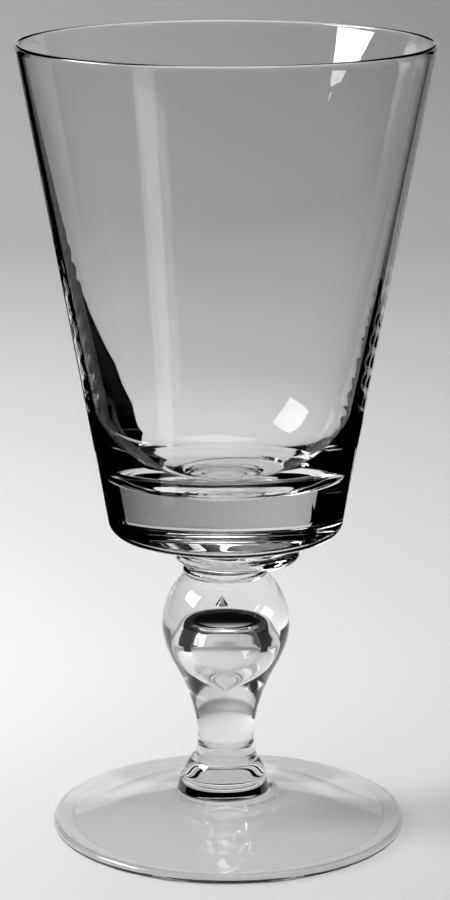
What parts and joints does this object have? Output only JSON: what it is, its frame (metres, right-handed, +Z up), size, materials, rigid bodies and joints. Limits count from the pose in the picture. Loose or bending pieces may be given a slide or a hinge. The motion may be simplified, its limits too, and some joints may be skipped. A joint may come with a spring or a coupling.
{
  "type": "water goblet",
  "caption": "Stemmed water glass: tapering bowl on a thick clear base, button, ball knop with a bubble of air inside, waisted stem and wide domed foot.",
  "frame": {"origin": "middle of the glass on the plane that the foot stands on", "axes": "+Z up along the stem to the rim; the small hand-made offsets of the pieces lie along X"},
  "size_m": [0.092, 0.092, 0.18],
  "materials": {
    "bowl_glass": "clear and fire polished, with faint ripples inside the wall",
    "stem_glass": "clear and fire polished",
    "foot_glass": "clear and fire polished, with fine wear on the ring it stands on"
  },
  "bodies": {
    "root": {"bowl": "bowl_glass", "bowl_button": "stem_glass", "neck_ring": "stem_glass", "ball_knop": "stem_glass", "stem": "stem_glass", "stem_pad": "stem_glass", "foot_collar": "foot_glass", "foot": "foot_glass"}
  },
  "joints": []
}
